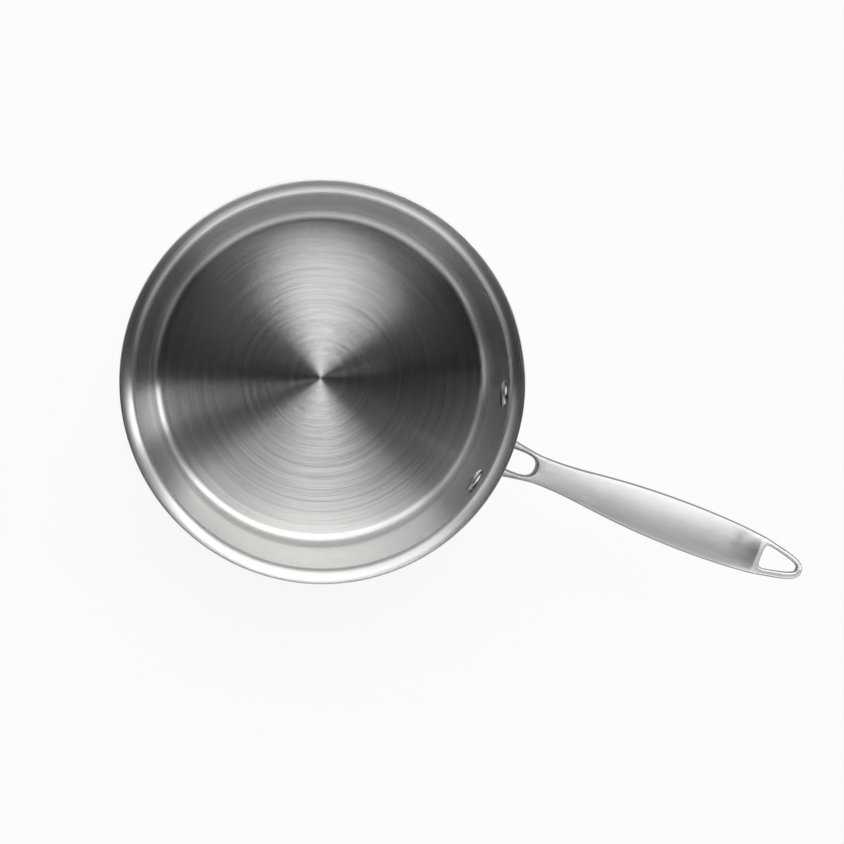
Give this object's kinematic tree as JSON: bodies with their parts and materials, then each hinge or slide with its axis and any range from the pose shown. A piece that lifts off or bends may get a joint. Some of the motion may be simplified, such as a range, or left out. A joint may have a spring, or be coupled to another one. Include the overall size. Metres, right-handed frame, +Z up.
{
  "type": "saucepan",
  "caption": "Round stainless saucepan with a flared pouring lip, a capped heat-spreading base and a long forked, riveted handle ending in a hanging loop.",
  "frame": {"origin": "centre of the flat underside that stands on the hob", "axes": "+Z up along the pan's axis, +X along the handle, +Y to the left of the handle seen from above with the handle pointing away"},
  "size_m": [0.3491, 0.1938, 0.0938],
  "materials": {
    "pan_steel": "circular satin brushing inside, bright polish outside",
    "disc_aluminium": "plain rolled",
    "cap_steel": "circular satin brushing",
    "handle_steel": "fine satin brushing along the grip",
    "rivet_steel": "polished"
  },
  "bodies": {
    "root": {"body_shell": "pan_steel", "heat_disc": "disc_aluminium", "base_cap": "cap_steel", "handle": "handle_steel", "rivet_left": "rivet_steel", "rivet_right": "rivet_steel"}
  },
  "joints": []
}
